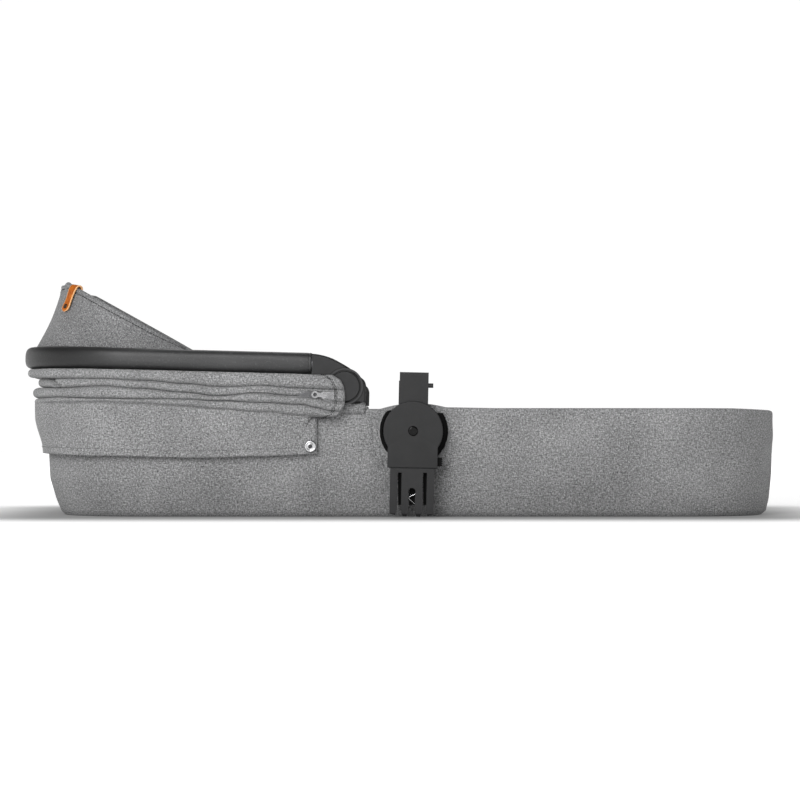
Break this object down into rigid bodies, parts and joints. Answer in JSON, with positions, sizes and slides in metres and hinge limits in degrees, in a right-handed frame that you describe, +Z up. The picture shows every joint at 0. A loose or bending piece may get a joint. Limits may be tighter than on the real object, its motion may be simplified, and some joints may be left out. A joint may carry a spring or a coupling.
{
  "type": "carrycot bassinet",
  "caption": "Padded fabric carrycot with a folding canopy, tipping sun visor with a pull tab, round side hubs and swinging plug-in frame adapters.",
  "frame": {"origin": "middle of the floor face, under the centre of the whole object", "axes": "+X towards the foot end, +Z up, +Y to the left of a child lying with its head at -X"},
  "size_m": [0.8774, 0.45, 0.2726],
  "materials": {
    "cot_fabric": "woven melange",
    "lining_fabric": "quilted",
    "mattress_fabric": "jersey cover",
    "shell_plastic": "moulded",
    "board": "moulded sheet",
    "black_plastic": "fine spark texture",
    "frame_metal": "drawn tube",
    "wire_steel": "drawn wire",
    "plate_steel": "pressed",
    "fastener_steel": "plated",
    "dark_screw": "black gloss",
    "handle_leather": "grained, matt",
    "tan_leather": "smooth",
    "dark_rivet": "burnished",
    "snap_steel": "polished",
    "zip_cloth": "woven tape",
    "zip_teeth": "coil",
    "zip_metal": "gunmetal"
  },
  "bodies": {
    "cot": {"outer_cover": "cot_fabric", "tub_shell": "shell_plastic", "base_board": "board", "liner": "lining_fabric", "rim_frame": "frame_metal", "canopy_skirt": "cot_fabric", "skirt_snaps": "snap_steel", "hub_housing_right": "black_plastic", "hub_backplate_right": "plate_steel", "housing_screws_right": "fastener_steel", "hub_screw_right": "dark_screw", "hub_nut_right": "fastener_steel", "pivot_bracket_right": "black_plastic", "pivot_pin_right": "fastener_steel", "hub_housing_left": "black_plastic", "hub_backplate_left": "plate_steel", "housing_screws_left": "fastener_steel", "hub_screw_left": "dark_screw", "hub_nut_left": "fastener_steel", "pivot_bracket_left": "black_plastic", "pivot_pin_left": "fastener_steel"},
    "mattress": {"mattress": "mattress_fabric"},
    "canopy_rear": {"canopy_bow_rear": "wire_steel", "canopy_fold_lower": "cot_fabric", "zip_tape": "zip_cloth", "zip_chain": "zip_teeth"},
    "canopy_middle": {"canopy_bow_middle": "wire_steel", "canopy_fold_middle": "cot_fabric"},
    "handle": {"handle_tube": "frame_metal", "handle_sleeve": "handle_leather", "canopy_fold_upper": "cot_fabric", "visor_pivots": "black_plastic", "handle_elbow_right": "black_plastic", "handle_elbow_left": "black_plastic"},
    "visor": {"visor_bow": "wire_steel", "visor_fabric": "cot_fabric", "visor_tab": "tan_leather", "tab_rivet": "dark_rivet"},
    "zip_slider": {"zip_slider": "zip_metal"},
    "zip_puller": {"zip_puller": "zip_metal"},
    "adapter_right": {"hub_plate_right": "black_plastic", "adapter_core_right": "black_plastic", "latch_spring_right": "fastener_steel"},
    "lock_button_right": {"lock_button_right": "black_plastic"},
    "tongue_pin_right": {"tongue_pin_right": "fastener_steel"},
    "pivot_button_right": {"pivot_button_right": "black_plastic"},
    "adapter_left": {"hub_plate_left": "black_plastic", "adapter_core_left": "black_plastic", "latch_spring_left": "fastener_steel"},
    "lock_button_left": {"lock_button_left": "black_plastic"},
    "tongue_pin_left": {"tongue_pin_left": "fastener_steel"},
    "pivot_button_left": {"pivot_button_left": "black_plastic"}
  },
  "joints": [
    {"name": "canopy_rear_raise", "type": "hinge", "parent": "cot", "child": "canopy_rear", "pos_m": [-0.0621, 0, 0.1474], "axis": [0, 1, 0], "range_deg": [0, 32]},
    {"name": "canopy_middle_raise", "type": "hinge", "parent": "canopy_rear", "child": "canopy_middle", "pos_m": [-0.0621, 0, 0.1474], "axis": [0, 1, 0], "range_deg": [0, 32]},
    {"name": "handle_raise", "type": "hinge", "parent": "canopy_middle", "child": "handle", "pos_m": [-0.0621, 0, 0.1474], "axis": [0, 1, 0], "range_deg": [0, 32]},
    {"name": "visor_tip", "type": "hinge", "parent": "handle", "child": "visor", "pos_m": [-0.217, 0, 0.177], "axis": [0, 1, 0], "range_deg": [-12, 0], "deforming": ["visor_fabric"]},
    {"name": "mattress_lift", "type": "slide", "parent": "cot", "child": "mattress", "axis": [0, 0, 1], "range_m": [0, 0.25]},
    {"name": "zip_slider_run", "type": "slide", "parent": "canopy_rear", "child": "zip_slider", "axis": [-0.9988, 0, 0.0499], "range_m": [0, 0.1]},
    {"name": "zip_puller_swing", "type": "hinge", "parent": "zip_slider", "child": "zip_puller", "pos_m": [-0.0779, -0.21425, 0.13725], "axis": [0.0499, 0, 0.9988], "range_deg": [0, 100]},
    {"name": "adapter_right_swing", "type": "hinge", "parent": "cot", "child": "adapter_right", "pos_m": [0.0148, -0.2076, 0.0971], "axis": [0, -1, 0], "range_deg": [0, 90]},
    {"name": "lock_button_right_press", "type": "slide", "parent": "adapter_right", "child": "lock_button_right", "axis": [-0.9998, 0, 0.0209], "range_m": [0, 0.003], "stiffness_N_per_m": 300, "springref_m": -0.002},
    {"name": "tongue_pin_right_press", "type": "slide", "parent": "adapter_right", "child": "tongue_pin_right", "axis": [-0.9998, 0, 0.0209], "range_m": [0, 0.0035], "stiffness_N_per_m": 300, "springref_m": -0.002},
    {"name": "pivot_button_right_press", "type": "slide", "parent": "handle", "child": "pivot_button_right", "axis": [0, 1, 0], "range_m": [0, 0.003], "stiffness_N_per_m": 400, "springref_m": -0.002},
    {"name": "adapter_left_swing", "type": "hinge", "parent": "cot", "child": "adapter_left", "pos_m": [0.0148, 0.2076, 0.0971], "axis": [0, -1, 0], "range_deg": [0, 90]},
    {"name": "lock_button_left_press", "type": "slide", "parent": "adapter_left", "child": "lock_button_left", "axis": [-0.9998, 0, 0.0209], "range_m": [0, 0.003], "stiffness_N_per_m": 300, "springref_m": -0.002},
    {"name": "tongue_pin_left_press", "type": "slide", "parent": "adapter_left", "child": "tongue_pin_left", "axis": [-0.9998, 0, 0.0209], "range_m": [0, 0.0035], "stiffness_N_per_m": 300, "springref_m": -0.002},
    {"name": "pivot_button_left_press", "type": "slide", "parent": "handle", "child": "pivot_button_left", "axis": [0, -1, 0], "range_m": [0, 0.003], "stiffness_N_per_m": 400, "springref_m": -0.002}
  ],
  "couplings": [
    {"joint": "canopy_middle_raise", "follows": "canopy_rear_raise", "ratio": 1},
    {"joint": "handle_raise", "follows": "canopy_rear_raise", "ratio": 1}
  ]
}
